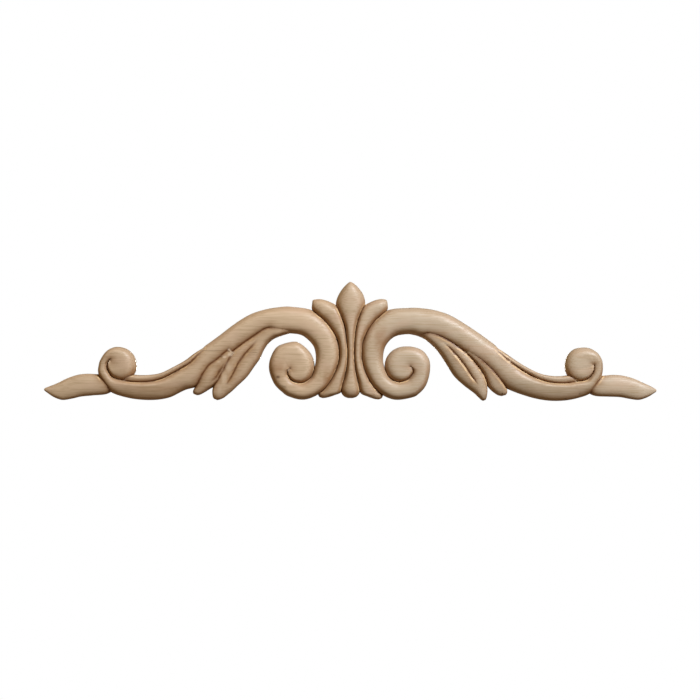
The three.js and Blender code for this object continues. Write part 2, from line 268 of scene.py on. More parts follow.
PETAL_CREST = [(0, 0.42)]
RIGHT_PETAL_TIP = [
    (36.8, 99.2, 37.6, 93.2, 0.23),
    (35, 101, 37, 90.6, 0.47),
    (28.6, 101.3, 31.6, 84.5, 0.75),
]
LEFT_PETAL_TIP = [
    (37.6, 99.6, 38.2, 92.4, 0.23),
    (35.6, 100.6, 37.2, 90, 0.5),
    (28.6, 101, 31.6, 84.5, 0.75),
]
STEM = [
    (-0.9, 118.5, 0.9, 118.5, 0.3),
    (-3.4, 116.6, 4, 116.6, 0.61),
    (-6.9, 113, 7.8, 113, 0.83),
    (-11.4, 106.5, 12.5, 106.5, 0.96),
    (-14.4, 98.5, 14.8, 98.5, 1),
    (-13.8, 91, 13.6, 91, 0.99),
    (-9.9, 82.5, 9.4, 82.5, 0.94),
    (-5.9, 72.5, 6.4, 72.5, 0.9),
    (-4.4, 61.5, 5.2, 61.5, 0.87),
    (-3.8, 50.5, 4.9, 50.5, 0.85),
    (-3.8, 40.5, 5, 40.5, 0.83),
    (-4.6, 30.5, 6, 30.5, 0.85),
    (-6.9, 20.5, 7.8, 20.5, 0.87),
    (-9.9, 11.5, 9.9, 11.5, 0.83),
    (-8.4, 6.4, 8.6, 6.4, 0.67),
    (-5.6, 3.6, 5.8, 3.6, 0.44),
    (-2.4, 2.4, 2.6, 2.4, 0.19),
]

# What differs between the right half, 1, and the left half, -1
HALVES = {
    1: {
        "hand": "right",
        "scroll_start": RIGHT_SCROLL_START,
        "leaf": [*RIGHT_LEAF_START, *LEAF],
        "leaf_crest": RIGHT_LEAF_CREST,
        "leaflet": [*RIGHT_LEAFLET_FOOT, *LEAFLET_TIP],
        "leaflet_vein": None,
        "petal": [*RIGHT_PETAL_TIP, *PETAL_BODY],
    },
    -1: {
        "hand": "left",
        "scroll_start": LEFT_SCROLL_START,
        "leaf": [*LEFT_LEAF_START, *LEAF],
        "leaf_crest": LEFT_LEAF_CREST,
        "leaflet": [*LEFT_LEAFLET_FOOT, *LEAFLET_TIP],
        "leaflet_vein": LEFT_LEAFLET_VEIN,
        "petal": [*LEFT_PETAL_TIP, *PETAL_BODY],
    },
}

# The left half drifts from the right one: out and up on the right half, then how far it lies off on the left.
LEFT_DRIFT = [
    (0, 60, 0, 0), (3.5, 48, -1.2, 0), (12, 25, 0, 0), (12, 65, 0, 0), (20, 98, 0, 0),
    (30, 2, -0.5, 1.2), (34.6, 36, 1.8, 1), (50, 2, 0.5, 0), (52, 54, 2, 5), (42, 60.5, 2.6, 0.5),
    (55, 66.5, 1.5, 0.6), (60, 92, 0.5, 1.2), (61, 33.5, 0.5, -2), (69.5, 51.5, 2.6, 3.2),
    (70, 64.5, 1.4, 0.3), (78, 32, 2, 0.5), (77, 20, 0.4, 0), (69, 8, -0.7, 1.2),
    (88, 66, 0, 2.5), (90, 88, 0, 1), (92, 43, -1.5, -0.8),
    (106, 55, 0, 3), (114, 15, 0, -1), (122, 44, 0, 3), (128, 3, -1, -0.8), (130, 30, -2, 0),
    (130, 67, 0, -0.6), (134, 0, 1, 1), (135, 21.5, -2.5, 0), (137, 13, 0.5, 0),
    (138, 30, 0, 3), (149, 5, 2.5, 0.7), (156, 12, -0.8, 1), (142, 58, 0, -0.6),
    (158, 38, 0, -0.4), (160, 45, 0, 0.4), (163, 10, 1, 2), (175, 34, 0, 0.6), (180, 6, 0, 0),
    (185, 28, 0, 0.6),
    (205, 0, 0, 1), (205, 24, 0, 1.1), (214, 36, 0, 0), (233, 36, 0, 0), (240, 52, 0, 0),
    (251, 34, 0, 0), (252, 25, 0.3, 1.5), (265, 4, 0, 0.8), (275, 25, 0, 0.8), (290, 1, 0, 0),
    (298, 14, 0, 0), (304, 9, 0.2, 1),
]

# The drift sheet's unit of length in squares, and how softly it follows the notes
DRIFT_STEP = 10
DRIFT_SOFTNESS = 0.1

# Marks in the wood: squares right of the middle line and up, half length, half height, strength
SCARS = {
    "dents": (-72, 23.6, 1.8, 1.3, 0.75),
    "low_dent": (-66, 14, 2.4, 1, 0.35),
    "knot": (151.6, 7, 0.9, 0.8, 0.9),
    "crack": (-137.5, 49.9, 11, 0.4, 0.45),
    "low_speck": (214.6, 1.8, 1, 0.8, 0.6),
    "high_speck": (228.6, 6.8, 1, 0.8, 0.5),
    "saw_mark_high": (-96, 50.2, 4.5, 0.35, 0.35),
    "saw_mark": (-97, 48, 5, 0.35, 0.4),
    "saw_mark_low": (-98, 45.8, 4, 0.35, 0.3),
    "torn_edge": (-121.2, 49.4, 1.4, 0.7, 0.7),
    "torn_end": (-128.6, 43.8, 1.3, 0.8, 0.6),
}
# Pale patches, in the same columns as the marks: chips in the wood, and a painted highlight along the band of
# the left leaf beside its vein
CHIPS_AND_PAINTED_HIGHLIGHTS = {
    "chip": (-119.6, 46.2, 2.4, 1.8, 0.85),
    "chip_middle": (-125.4, 43.4, 1.6, 1, 0.6),
    "chip_end": (-130.8, 38.8, 1.8, 1, 0.5),
    "painted_highlight_leaf": (-122, 34, 2.6, 5, 0.3),
    "painted_highlight_leaf_middle": (-125.6, 23, 2.6, 6, 0.4),
    "painted_highlight_leaf_tip": (-130.6, 11, 2, 5, 0.3),
}
# Brown patches that darken the wood, in the same columns as the marks; the right arch one is painted shade on
# the right scroll's flank beside the petal, which faces away from the key lamp
STAINS_AND_PAINTED_SHADE = {
    "left_volute": (-73, 30, 8, 10, 0.45),
    "left_leaflet": (-128, 33, 7, 12, 0.5),
    "left_leaf": (-112, 44, 5, 10, 0.35),
    "left_wave": (-190, 12, 26, 4, 0.3),
    "painted_shade_right_arch": (30, 58, 6, 14, 0.45),
    "left_petal_foot": (-22, 22, 5, 10, 0.5),
}

# Bends over an edge in degrees: what makes a crease or an arris, what counts as nothing and as the whole,
# and what is still shaded smooth
CREASE_BEND = 14
ARRIS_BEND = 24
SLIGHT_BEND = 10
FULL_BEND = 60
SMOOTH_BEND = 32

# How many of the nearest edges a corner is compared with
NEAREST = 5

# How strongly the brown stain colours the creases, where it is partly painted shade, and the painted shade
# the flanks, and how squarely a face of the back faces back
STAIN_AND_SHADE_SHARE = 0.55
FLANK_SHADE_SHARE = 0.62
BACK_FACING = 0.9

# A painted highlight lies on the lip of a crease where it faces up and right, towards the key lamp: how much
# right counts against up, and the range it shows over
LIP_LEAN = 0.6
LIP_RANGE = (-0.25, 0.45)
LIP_GAIN = 2

# Painted shade darkens a flank where it turns from the front, and more so where it faces down, away from the
# key lamp: both ranges, and the least share, where it faces up
FLANK_TURN = (0.99, 0.66)
FLANK_DOWN = (0.3, -0.4)
FLANK_LEAST = 0.4

# Marks show only above this share of the sawn edge.
MARKS_FROM = 0.9


def linear(code):
    """Linear RGBA of an sRGB colour written as #rrggbb."""
    shades = [int(code[start:start + 2], 16) / 255 for start in (1, 3, 5)]
    return (*[s / 12.92 if s <= 0.04045 else ((s + 0.055) / 1.055) ** 2.4 for s in shades], 1.0)


def length_property(name, description, default):
    """A length in metres."""
    return bpy.props.FloatProperty(name=name, description=description, default=default, unit="LENGTH")


def colour_property(name, description, code):
    """A colour, given by its sRGB code."""
    return bpy.props.FloatVectorProperty(
        name=name, description=description, default=linear(code), size=4, subtype="COLOR"
    )


class AppliqueSizes(bpy.types.PropertyGroup):
    """Sizes of the carving, in metres."""

    length: length_property("Length", "From tip to tip of the end leaves", round(NODE_HIGH.x - NODE_LOW.x, 3))
    thickness: length_property("Thickness", "From back to crest", round(NODE_HIGH.y - NODE_LOW.y, 4))
    sawn_edge: length_property("Sawn edge", "Height of the upright edge below the carving", 0.0036)
    vein_depth: length_property("Vein depth", "Depth of the cut along each leaf", 0.0012)
    vein_width: length_property("Vein width", "How far from its bottom the cut fades to a third", 0.0012)
    facet: length_property("Facet", "Size of the facets that follow the carving", 0.00068)
    ripple: length_property("Tool ripple", "Height of the waves that the tools left", 0.00005)
    # Glaze reach: the dark glaze in a crease, partly real glaze and partly painted shade
    glaze_reach: length_property("Glaze reach", "How far the dark glaze spreads out of a crease", 0.0012)
    # Stain reach: the brown stain beside a crease, partly real stain and partly painted shade where the light
    # falls off
    stain_reach: length_property("Stain reach", "How far the thin brown stain spreads out of a crease", 0.004)
    # Lip distance and width: where the painted highlight lies beside a crease, on its side that faces the key
    # lamp
    lip_away: length_property("Lip distance", "How far beside a crease its lip is rubbed pale", 0.0014)
    lip_width: length_property("Lip width", "How wide the rubbed lip is", 0.0006)
    # Arris reach: a painted highlight along the sharp edges, which also stands for glaze rubbed off them
    arris_reach: length_property("Arris reach", "How far from a sharp edge the glaze is rubbed off", 0.0009)


class AppliqueColours(bpy.types.PropertyGroup):
    """Colours of the finish, with its painted shade and painted highlights."""

    wood: colour_property("Wood", "Oiled wood on the crowns", "#c9b091")
    pale_wood: colour_property("Pale wood", "Greyer oiled wood of the right half", "#c1af96")
    grain: colour_property("Grain", "Darker streaks along the grain", "#ab9270")
    blush: colour_property("Blush", "Pinker patches of the wood", "#c9ab91")
    # Stain: a brown stain, and also the colour of the painted shade on the flanks and beside the creases
    stain_and_painted_shade: colour_property("Stain", "Thin brown stain on the flanks and beside the creases", "#8c5b28")
    # Glaze: real glaze in the creases, and the colour of the painted shade there
    glaze_and_painted_shade: colour_property("Glaze", "Brown glaze left in the creases", "#663a18")
    # Rubbed arris: pale wood of the rubbed edges, the chips and the sawn back, and the painted highlight on
    # the arrises and the left leaf
    rubbed_and_painted_highlight: colour_property("Rubbed arris", "Pale wood where the glaze is rubbed off", "#e2cdb0")
    # Lip: the colour of the painted highlight beside the creases, where they face the key lamp
    painted_lip_highlight: colour_property("Lip", "Pale honey line of thin glaze on the lit lip of a crease", "#edcb98")
    scar: colour_property("Scar", "Dark dents, specks and cracks", "#4a2f1b")
    floor: colour_property("Floor", "Pale studio floor", "#e9e7e3")


def turn(eye, stations):
    """Rungs of stations round an eye."""
    rungs = []
    for angle, first, second, *rest in stations:
        way = np.array([math.cos(math.radians(angle)), math.sin(math.radians(angle))])
        rungs.append((*(eye + first * way), *(eye + second * way), *rest))
    return rungs


def filled_in(rungs):
    """Rungs as an array, with the height of each rail as a share of the relief in place of its lift."""
    full = np.array([(*rung, 0, 0)[:RUNG_VALUES] for rung in rungs], float)
    full[:, 5:7] *= full[:, 4:5]
    return full


def along_curve(rungs, places):
    """Values of the rungs at fractional places along their list, on smooth curves through them."""
    slopes = np.gradient(rungs, axis=0)
    still = np.abs(np.diff(rungs, axis=0)) < 1e-9
    slopes[1:][still] = 0
    slopes[:-1][still] = 0
    start = np.minimum(places.astype(int), len(rungs) - 2)
    t = (places - start)[:, None]
    return (
        (2 * t**3 - 3 * t**2 + 1) * rungs[start]
        + (t**3 - 2 * t**2 + t) * slopes[start]
        + (3 * t**2 - 2 * t**3) * rungs[start + 1]
        + (t**3 - t**2) * slopes[start + 1]
    )


def station_places(rungs, step):
    """Even places along a member, about a step apart on its longer rail."""
    gaps = np.maximum(
        np.linalg.norm(np.diff(rungs[:, 0:2], axis=0), axis=1),
        np.linalg.norm(np.diff(rungs[:, 2:4], axis=0), axis=1),
    )
    places = []
    for index, gap in enumerate(gaps):
        steps = max(1, round(gap / step))
        places.extend(index + np.arange(steps) / steps)
    return np.array([*places, len(gaps)])


def shares_across(rungs, step, vein):
    """Where a member's width is cut into facets: closer at the rails, and beside a vein in the middle."""
    width = np.linalg.norm(rungs[:, 2:4] - rungs[:, 0:2], axis=1).max()
    count = 2 * max(FEWEST_FACETS, round(width / step * FACETS_ACROSS))
    even = np.linspace(0, 1, count + 1)
    shares = EVEN_SHARE * even + (1 - EVEN_SHARE) * (1 - np.cos(np.pi * even)) / 2
    if vein:
        lips = np.array(VEIN_LIPS) / width
        shares = shares[np.abs(shares - 0.5) > lips[-1] + VEIN_CLEAR / width]
        shares = np.sort(np.concatenate([shares, 0.5 - lips, [0.5], 0.5 + lips]))
    return shares


def cushion(share, crest, fullness):
    """Height of a cushion across its width: 0 at the rails and 1 at the crest."""
    side = np.where(share < crest, (crest - share) / crest, (share - crest) / (1 - crest))
    return np.sqrt(np.maximum(0, 1 - side**fullness))


def smoothstep(values, low, high):
    """0 below low, 1 above high and a smooth ramp between."""
    t = np.clip((values - low) / (high - low), 0, 1)
    return t * t * (3 - 2 * t)


def moved_to_vein(shares, vein, places):
    """The shares at each place, with the middle one moved onto the vein."""
    at = np.interp(places, np.arange(len(vein["at"])), vein["at"])[:, None]
    return np.where(shares < 0.5, shares * 2 * at, 1 - (1 - shares) * 2 * (1 - at))


def vein_cut(vein, places, away):
    """Depth of the vein as a share: a V with soft lips that fades out at both ends."""
    width = bpy.context.scene.applique_sizes.vein_width
    fade = smoothstep(places, vein["from"], vein["from"] + VEIN_FADE)
    fade = fade * (1 - smoothstep(places, vein["to"] - VEIN_FADE, vein["to"]))
    return fade[:, None] * np.exp(-((away / width) ** VEIN_SHARPNESS))


def sheet_bend(spots, noted):
    """How a thin bent sheet held at noted spots rises at other spots."""
    gap = ((spots[:, None] - noted[None, :]) ** 2).sum(-1) / DRIFT_STEP**2
    return gap * np.log(gap + 1e-9)


def left_drift(out, up):
    """How far the left half has drifted at spots of the pattern, on a smooth sheet through the notes."""
    noted = np.array(LEFT_DRIFT, float)
    places, drifts = noted[:, :2], noted[:, 2:]
    bend = sheet_bend(places, places) + DRIFT_SOFTNESS * np.eye(len(noted))
    plane = np.column_stack([np.ones(len(noted)), places / DRIFT_STEP])
    whole = np.block([[bend, plane], [plane.T, np.zeros((3, 3))]])
    weights = np.linalg.solve(whole, np.vstack([drifts, np.zeros((3, 2))]))
    spots = np.column_stack([out.ravel(), up.ravel()])
    moved = sheet_bend(spots, places) @ weights[:-3]
    moved += np.column_stack([np.ones(len(spots)), spots / DRIFT_STEP]) @ weights[-3:]
    return moved[:, 0].reshape(out.shape), moved[:, 1].reshape(out.shape)


def tool_ripple(x, z):
    """Low waves of a hand-carved surface, from about -1 to 1, at spots in metres."""
    draw = np.random.default_rng(RIPPLE_SEED)
    total = np.zeros_like(x)
    for _ in range(RIPPLE_WAVES):
        heading = draw.uniform(0, 2 * np.pi)
        length = draw.uniform(*RIPPLE_LENGTHS)
        phase = draw.uniform(0, 2 * np.pi)
        total += np.sin((x * np.cos(heading) + z * np.sin(heading)) * 2 * np.pi / length + phase)
    return total / math.sqrt(RIPPLE_WAVES)


def shape_strip(side, rungs, crest, fullness, vein, stretch):
    """Corners of a member: a row of rings, each from the back of one rail over the cushion to the other.

    A stretch of (first, last) keeps only those rungs, runs one station past them and tucks the end under."""
    sizes = bpy.context.scene.applique_sizes
    square = sizes.length / SQUARES_LONG
    full = filled_in(rungs)
    places = station_places(full, sizes.facet / square)
    if stretch:
        low = max(0, np.searchsorted(places, stretch[0]) - 1)
        high = min(len(places), np.searchsorted(places, stretch[1]) + 2)
        places = places[low:high]
    columns = shares_across(full, sizes.facet / square, vein)
    shares = np.tile(columns, (len(places), 1))
    if vein:
        shares = moved_to_vein(shares, vein, places)
    found = along_curve(full, places)
    first, second = found[:, None, 0:2], found[:, None, 2:4]
    spots = first + (second - first) * shares[:, :, None]
    out, up = spots[..., 0], spots[..., 1]
    if side < 0:
        by_out, by_up = left_drift(out, up)
        out, up = out + by_out, up + by_up
    x = (-1 if side < 0 else 1) * out * square
    z = (up - MIDDLE_UP) * square
    crests = np.interp(places, *zip(*crest))[:, None]
    rail = np.where(shares < crests, found[:, 5:6], found[:, 6:7]).clip(0, None)
    fulls = np.interp(places, *zip(*fullness))[:, None]
    swell = rail + (found[:, 4:5] - rail) * cushion(shares, crests, fulls)
    height = sizes.sawn_edge + (sizes.thickness - sizes.sawn_edge) * swell
    if vein:
        middle = len(columns) // 2
        away = np.hypot(x - x[:, middle:middle + 1], z - z[:, middle:middle + 1])
        height = height - sizes.vein_depth * vein_cut(vein, places, away)
    height = height + sizes.ripple * (tool_ripple(x, z) - RIPPLE_LEVEL) * np.minimum(1, swell / RIPPLE_FULL)
    if stretch:
        for end in (0, -1):
            height[end] -= TUCK
            x[end] += np.sign(x[end].mean() - x[end]) * TUCK
            z[end] += np.sign(z[end].mean() - z[end]) * TUCK
    top = np.stack([x, -height, z], axis=-1)
    start, end = top[:, :1].copy(), top[:, -1:].copy()
    start[..., 1] = 0
    end[..., 1] = 0
    return np.concatenate([start, top, end, start], axis=1)


def only_select(mesh, chosen):
    """Selects just these vertices of a mesh that is in object mode."""
    mesh.polygons.foreach_set("select", np.zeros(len(mesh.polygons), bool))
    mesh.edges.foreach_set("select", np.zeros(len(mesh.edges), bool))
    mesh.vertices.foreach_set("select", chosen)


def carve_member(name, side, rungs, crest=CREST, fullness=FULLNESS, vein=None, stretch=None):
    """One closed solid member: a grid rolled round its rails, its seam merged and its ends filled."""
    rings = shape_strip(side, rungs, crest, fullness, vein, stretch)
    stations, row = rings.shape[:2]
    bpy.ops.object.select_all(action="DESELECT")
    bpy.ops.mesh.primitive_grid_add(x_subdivisions=row - 1, y_subdivisions=stations - 1)
    piece = bpy.context.object
    piece.name = name
    mesh = piece.data
    mesh.vertices.foreach_set("co", rings.reshape(-1))
    mesh.update()
    index = np.arange(stations * row)
    for end in (index < row, index >= (stations - 1) * row):
        only_select(mesh, end)
        bpy.ops.object.mode_set(mode="EDIT")
        bpy.ops.mesh.select_mode(type="VERT")
        bpy.ops.mesh.edge_face_add()
        bpy.ops.object.mode_set(mode="OBJECT")
    bpy.ops.object.mode_set(mode="EDIT")
    bpy.ops.mesh.select_all(action="SELECT")
    bpy.ops.mesh.remove_doubles(threshold=SEAM_GAP)
    bpy.ops.mesh.normals_make_consistent(inside=False)
    bpy.ops.object.mode_set(mode="OBJECT")
    return piece


def fan(eye, pivot, rim):
    """Rungs of a volute's head, all from one pivot of one height."""
    pivot_angle, pivot_radius, pivot_rise = pivot
    spot = turn(eye, [(pivot_angle, pivot_radius, 0)])[0][:2]
    rungs = turn(eye, [(angle, 0, radius, crown, pivot_rise / crown) for angle, radius, crown in rim])
    return [(*spot, *rung[2:]) for rung in rungs]


def swap_rails(rungs):
    """The same rungs with their rails the other way round."""
    return [(*rung[2:4], *rung[0:2], rung[4], *reversed((*rung, 0, 0)[5:7])) for rung in rungs]


def scroll_rungs(side):
    """All rungs of a scroll, from inside its large volute to inside its small one."""
    small = SMALL_VOLUTE[side]
    return [
        *reversed(fan(LARGE_EYE, LARGE_PIVOT, LARGE_RIM)),
        *turn(LARGE_EYE, LARGE_TURN),
        *HALVES[side]["scroll_start"],
        *SCROLL_WAVE,
        *turn(SMALL_EYE, small["turn"]),
        *swap_rails(fan(SMALL_EYE, small["pivot"], small["rim"])),
    ]


def half_members(side):
    """The members of one half, from the middle outwards."""
    half = HALVES[side]
    hand = half["hand"]
    scroll = scroll_rungs(side)
    last = len(scroll) - 1
    section = {"crest": SCROLL_CREST, "fullness": SCROLL_FULLNESS}
    leaf_section = {"crest": half["leaf_crest"], "fullness": LEAF_FULLNESS, "vein": LEAF_VEIN}
    leaflet_section = {"crest": LEAFLET_CREST, "vein": half["leaflet_vein"]}
    return [
        carve_member(f"{hand}_scroll", side, scroll, stretch=(HEAD_TUCKED, last - HEAD_TUCKED), **section),
        carve_member(f"{hand}_large_head", side, scroll, stretch=(0, HEAD_TUCKED), **section),
        carve_member(f"{hand}_small_head", side, scroll, stretch=(last - HEAD_TUCKED, last), **section),
        carve_member(f"{hand}_leaf", side, half["leaf"], **leaf_section),
        carve_member(f"{hand}_leaflet", side, half["leaflet"], **leaflet_section),
        carve_member(f"{hand}_fillet", side, FILLET, crest=FILLET_CREST),
        carve_member(f"{hand}_end_leaf", side, END_LEAF),
        carve_member(f"{hand}_petal", side, half["petal"], crest=PETAL_CREST),
    ]


def join_members(members):
    """Unites the members into one solid piece."""
    whole, *others = members
    for other in others:
        joint = whole.modifiers.new("join", "BOOLEAN")
        joint.operation = "UNION"
        joint.solver = "MANIFOLD"
        joint.object = other
        bpy.ops.object.select_all(action="DESELECT")
        bpy.context.view_layer.objects.active = whole
        whole.select_set(True)
        bpy.ops.object.modifier_apply(modifier=joint.name)
        spare = other.data
        bpy.data.objects.remove(other)
        bpy.data.meshes.remove(spare)
    return whole


def settle(piece):
    """Cuts the faces with more than four corners into triangles, and faces all of them outwards."""
    bpy.ops.object.select_all(action="DESELECT")
    bpy.context.view_layer.objects.active = piece
    piece.select_set(True)
    bpy.ops.object.mode_set(mode="EDIT")
    bpy.ops.mesh.select_mode(type="FACE")
    bpy.ops.mesh.select_all(action="DESELECT")
    bpy.ops.mesh.select_face_by_sides(number=4, type="GREATER")
    bpy.ops.mesh.quads_convert_to_tris()
    bpy.ops.mesh.select_all(action="SELECT")
    bpy.ops.mesh.normals_make_consistent(inside=False)
    bpy.ops.object.mode_set(mode="OBJECT")


def read(collection, name, width):
    """A property of all of a mesh's elements as an array of rows."""
    values = np.zeros(len(collection) * width, np.float32 if name in ("co", "normal", "center") else np.int32)
    collection.foreach_get(name, values)
    return values.reshape(-1, width)


def edge_bends(mesh):
    """The bend over each edge between two faces, in radians: above 0 in a crease, below 0 on an arris."""
    normals = read(mesh.polygons, "normal", 3).astype(float)
    centres = read(mesh.polygons, "center", 3).astype(float)
    edge_of = read(mesh.loops, "edge_index", 1)[:, 0]
    counts = read(mesh.polygons, "loop_total", 1)[:, 0]
    face_of = np.repeat(np.arange(len(counts)), counts)
    order = np.argsort(edge_of, kind="stable")
    edge_of, face_of = edge_of[order], face_of[order]
    pair = np.flatnonzero(edge_of[1:] == edge_of[:-1])
    a, b = face_of[pair], face_of[pair + 1]
    angle = np.arccos(np.clip((normals[a] * normals[b]).sum(1), -1, 1))
    inward = ((centres[b] - centres[a]) * normals[a]).sum(1) > 0
    bends = np.zeros(len(mesh.edges))
    bends[edge_of[pair]] = np.where(inward, angle, -angle)
    return bends


def near_edges(mesh, chosen, strength, reach, away=0):
    """How strongly each corner feels the chosen edges, falling off over the reach around a distance away."""
    corners = read(mesh.vertices, "co", 3).astype(float)
    ends = read(mesh.edges, "vertices", 2)[chosen]
    felt = KDTree(len(ends) * 2)
    spots = np.concatenate([corners[ends].mean(1), corners[ends[:, 0]]])
    weights = np.concatenate([strength[chosen]] * 2)
    for index, spot in enumerate(spots):
        felt.insert(spot, index)
    felt.balance()
    values = np.zeros(len(corners))
    for index, corner in enumerate(corners):
        best = 0.0
        for _, which, distance in felt.find_n(corner, NEAREST):
            best = max(best, weights[which] * math.exp(-(((distance - away) / reach) ** 2)))
        values[index] = best
    return values


def keep_values(mesh, name, values):
    """Stores one number for each corner, for the material to read."""
    layer = mesh.attributes.new(name, "FLOAT", "POINT")
    layer.data.foreach_set("value", values.astype(np.float32))


def mark_values(mesh, marks):
    """How strongly each corner of the carving is marked."""
    sizes = bpy.context.scene.applique_sizes
    square = sizes.length / SQUARES_LONG
    corners = read(mesh.vertices, "co", 3).astype(float)
    values = np.zeros(len(corners))
    for right, up, half_long, half_high, strength in marks.values():
        along = (corners[:, 0] / square - right) / half_long
        above = (corners[:, 2] / square + MIDDLE_UP - up) / half_high
        values = np.maximum(values, strength * np.exp(-(along**4 + above**2)))
    return values * (corners[:, 1] < -sizes.sawn_edge * MARKS_FROM)


def note_surface(mesh):
    """Stores where creases, flanks, arrises and marks are, for the glaze and stains, the marks, and the
    painted shade and painted highlights.
    """
    sizes = bpy.context.scene.applique_sizes
    bends = edge_bends(mesh)
    crease = bends > math.radians(CREASE_BEND)
    arris = bends < math.radians(-ARRIS_BEND)
    slight = math.radians(SLIGHT_BEND)
    depth = np.clip((np.abs(bends) - slight) / (math.radians(FULL_BEND) - slight), 0, 1)
    # Brown stain beside the creases, stored below with the patches: partly real stain, partly painted shade
    stain_and_painted_shade = near_edges(mesh, crease, depth, sizes.stain_reach)
    # Dark glaze in the creases: partly real glaze, partly painted shade, as an occlusion would give
    keep_values(mesh, "crease", near_edges(mesh, crease, depth, sizes.glaze_reach))
    keep_values(mesh, "stain_and_painted_shade", np.maximum(stain_and_painted_shade * STAIN_AND_SHADE_SHARE, mark_values(mesh, STAINS_AND_PAINTED_SHADE)))
    normals = read(mesh.vertices, "normal", 3)
    # Painted highlight on the lip beside each crease, only where it faces up and right, towards the key lamp
    lit = smoothstep(normals[:, 0] * LIP_LEAN + normals[:, 2], *LIP_RANGE)
    painted_lip_highlight = near_edges(mesh, crease, np.minimum(1, depth * LIP_GAIN), sizes.lip_width, sizes.lip_away)
    keep_values(mesh, "painted_lip_highlight", painted_lip_highlight * lit)
    # Painted shade on the flanks that turn from the front, most where they face down
    steep = smoothstep(-normals[:, 1], *FLANK_TURN)
    down = smoothstep(normals[:, 2], *FLANK_DOWN)
    keep_values(mesh, "painted_flank_shade", steep * (FLANK_LEAST + (1 - FLANK_LEAST) * down))
    # Painted highlight along the sharp convex edges, which also stands for glaze rubbed off them
    keep_values(mesh, "arris", near_edges(mesh, arris, depth, sizes.arris_reach))
    keep_values(mesh, "scar", mark_values(mesh, SCARS))
    # Pale chips, and the painted highlight on the left leaf
    keep_values(mesh, "chip", mark_values(mesh, CHIPS_AND_PAINTED_HIGHLIGHTS))


# Sockets of a mix node when it mixes colours
FACTOR, COLOUR_A, COLOUR_B, MIXED = 0, 6, 7, 2


def add_node(tree, kind, inputs=None, **settings):
    """Adds a node with its settings, and gives its sockets values or links."""
    node = tree.nodes.new(kind)
    for name, value in settings.items():
        setattr(node, name, value)
    for socket, value in (inputs or {}).items():
        if isinstance(value, bpy.types.NodeSocket):
            tree.links.new(value, node.inputs[socket])
        else:
            node.inputs[socket].default_value = value
    return node


def new_material(name):
    """An empty material and its node tree."""
    material = bpy.data.materials.new(name)
    material.use_nodes = True
    material.node_tree.nodes.clear()
    return material, material.node_tree


def stretched_noise(tree, along, across, detail):
    """Noise in flecks of these lengths along and across the grain, in metres."""
    spots = add_node(tree, "ShaderNodeTexCoord").outputs["Object"]
    mapped = add_node(
        tree, "ShaderNodeMapping", {"Vector": spots, "Scale": (1 / along, 1 / across, 1 / across)}
    ).outputs["Vector"]
    inputs = {"Vector": mapped, "Scale": 1.0, "Detail": detail}
    return add_node(tree, "ShaderNodeTexNoise", inputs).outputs["Fac"]


def ramp(tree, value, low, high, to_low=0.0, to_high=1.0):
    """A value mapped from one range to another, smoothly."""
    return add_node(
        tree,
        "ShaderNodeMapRange",
        {"Value": value, "From Min": low, "From Max": high, "To Min": to_low, "To Max": to_high},
        interpolation_type="SMOOTHSTEP",
    ).outputs["Result"]


def mixed(tree, share, first, second):
    """Two colours mixed by a share."""
    return add_node(
        tree, "ShaderNodeMix", {FACTOR: share, COLOUR_A: first, COLOUR_B: second}, data_type="RGBA"
    ).outputs[MIXED]


def times(tree, first, second):
    """Two values multiplied."""
    return add_node(tree, "ShaderNodeMath", {0: first, 1: second}, operation="MULTIPLY").outputs[0]


def named_value(tree, name):
    """A number stored with the mesh's corners."""
    return add_node(tree, "ShaderNodeAttribute", attribute_name=name).outputs["Fac"]


